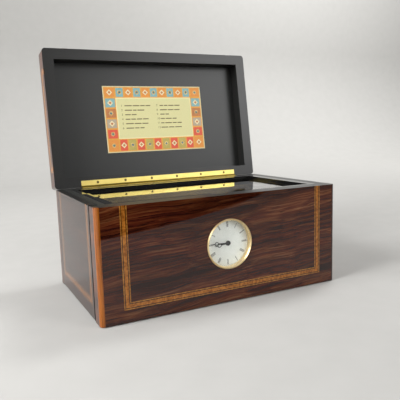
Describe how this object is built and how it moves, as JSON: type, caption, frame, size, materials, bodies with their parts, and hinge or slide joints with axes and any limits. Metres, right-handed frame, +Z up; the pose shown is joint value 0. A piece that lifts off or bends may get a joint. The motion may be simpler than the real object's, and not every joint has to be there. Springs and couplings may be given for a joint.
{
  "type": "cylinder music box",
  "caption": "Veneered music box with hinged lid, framed glass inner lid, end flap, front clock and a geared pinned cylinder, comb and governor.",
  "frame": {"origin": "on the table, under the middle of the case", "axes": "+X to the right as seen from the front, +Y to the back, +Z up"},
  "size_m": [0.344, 0.2671, 0.346],
  "materials": {
    "rosewood": "dark rosewood veneer under high-gloss lacquer",
    "pale_wood": "amber wood under gloss lacquer",
    "inlay": "three-line wood stringing under gloss lacquer",
    "black_lacquer": "black satin lacquer",
    "spruce": "plain sawn wood",
    "felt": "black felt",
    "glass": "clear polished glass",
    "brass": "polished brass",
    "steel": "bright steel",
    "card": "printed card",
    "dial": "white satin paint",
    "black_metal": "black paint",
    "black_plastic": "black moulded plastic"
  },
  "bodies": {
    "case": {"barrel_brackets": "brass", "base_felt": "felt", "base_panel": "spruce", "bedplate": "brass", "board_cleats": "spruce", "case_inlay": "inlay", "clock_bezel": "brass", "clock_dial": "dial", "clock_lens": "glass", "clock_movement": "black_plastic", "comb": "steel", "comb_base": "brass", "cylinder_brackets": "brass", "flap_pivot_pins": "brass", "front_corner_lippings": "pale_wood", "front_panel": "rosewood", "governor_frame": "brass", "left_end_wall": "black_lacquer", "lever_posts": "steel", "lid_hinge_case_leaf": "brass", "lid_hinge_case_screws": "brass", "lid_hinge_pin": "steel", "movement_screws": "steel", "rear_panel": "rosewood", "right_panel": "rosewood", "rim_frame": "black_lacquer", "sound_board": "spruce"},
    "lid": {"lid_top_panel": "rosewood", "lid_front_rail": "rosewood", "lid_rear_rail": "rosewood", "lid_side_rails": "rosewood", "lid_inlay": "inlay", "lid_lining": "black_lacquer", "tune_card": "card", "lid_hinge_lid_leaf": "brass", "lid_hinge_lid_screws": "brass"},
    "glass_lid": {"glass_lid_frame": "black_lacquer", "glass_pane": "glass", "glass_lid_pins": "brass"},
    "end_flap": {"end_flap": "rosewood", "flap_inlay": "inlay"},
    "minute_hand": {"clock_minute_hand": "black_metal", "clock_setting_knob": "black_plastic"},
    "hour_hand": {"clock_hour_hand": "black_metal"},
    "cylinder_arbor": {"cylinder_arbor": "steel", "great_wheel": "brass"},
    "tune_cylinder": {"tune_cylinder": "brass"},
    "spring_barrel": {"spring_barrel": "brass", "barrel_gear": "brass", "mainspring": "steel"},
    "winding": {"winding_arbor": "steel", "ratchet_wheel": "steel", "winding_key": "brass"},
    "click": {"ratchet_click": "steel"},
    "governor_wheel": {"governor_pinion": "steel", "worm_wheel": "brass"},
    "fly": {"endless_screw": "steel", "governor_fly": "brass"},
    "start_lever": {"start_lever": "brass"},
    "change_lever": {"change_lever": "brass"}
  },
  "joints": [
    {"name": "lid_hinge", "type": "hinge", "parent": "case", "child": "lid", "pos_m": [0, 0.1039, 0.1402], "axis": [-1, 0, 0], "range_deg": [-98, 0]},
    {"name": "glass_lid_hinge", "type": "hinge", "parent": "case", "child": "glass_lid", "pos_m": [0, 0.0724, 0.133], "axis": [-1, 0, 0], "range_deg": [0, 94]},
    {"name": "end_flap_hinge", "type": "hinge", "parent": "case", "child": "end_flap", "pos_m": [-0.1685, 0, 0.0055], "axis": [0, -1, 0], "range_deg": [0, 90]},
    {"name": "minute_hand_turn", "type": "hinge", "parent": "case", "child": "minute_hand", "pos_m": [0, -0.104, 0.077], "axis": [0, 1, 0], "continuous": true},
    {"name": "hour_hand_turn", "type": "hinge", "parent": "case", "child": "hour_hand", "pos_m": [0, -0.104, 0.077], "axis": [0, 1, 0], "continuous": true},
    {"name": "cylinder_turn", "type": "hinge", "parent": "case", "child": "cylinder_arbor", "pos_m": [0, 0.01, 0.08897], "axis": [1, 0, 0], "continuous": true},
    {"name": "tune_shift", "type": "slide", "parent": "cylinder_arbor", "child": "tune_cylinder", "axis": [1, 0, 0], "range_m": [0, 0.0012]},
    {"name": "barrel_turn", "type": "hinge", "parent": "case", "child": "spring_barrel", "pos_m": [0, -0.02578, 0.09297], "axis": [1, 0, 0], "continuous": true},
    {"name": "governor_turn", "type": "hinge", "parent": "case", "child": "governor_wheel", "pos_m": [0, 0.034, 0.08128], "axis": [1, 0, 0], "continuous": true},
    {"name": "fly_turn", "type": "hinge", "parent": "case", "child": "fly", "pos_m": [0.1165, 0.0448, 0.08128], "axis": [0, 0, 1], "continuous": true},
    {"name": "winding_turn", "type": "hinge", "parent": "case", "child": "winding", "pos_m": [0, -0.02578, 0.09297], "axis": [1, 0, 0], "continuous": true},
    {"name": "click_lift", "type": "hinge", "parent": "case", "child": "click", "pos_m": [-0.112, -0.03528, 0.07197], "axis": [1, 0, 0], "range_deg": [0, 12], "stiffness_Nm_per_rad": 0.004, "springref_deg": -17.19},
    {"name": "start_lever_turn", "type": "hinge", "parent": "case", "child": "start_lever", "pos_m": [-0.1, 0.024, 0.063], "axis": [0, 0, 1], "range_deg": [0, 12]},
    {"name": "change_lever_turn", "type": "hinge", "parent": "case", "child": "change_lever", "pos_m": [-0.1, 0.046, 0.063], "axis": [0, 0, 1], "range_deg": [0, 12]}
  ],
  "couplings": [
    {"joint": "hour_hand_turn", "follows": "minute_hand_turn", "ratio": 0.083333},
    {"joint": "barrel_turn", "follows": "cylinder_turn", "ratio": -0.33333},
    {"joint": "governor_turn", "follows": "cylinder_turn", "ratio": -6},
    {"joint": "fly_turn", "follows": "cylinder_turn", "ratio": 180}
  ]
}
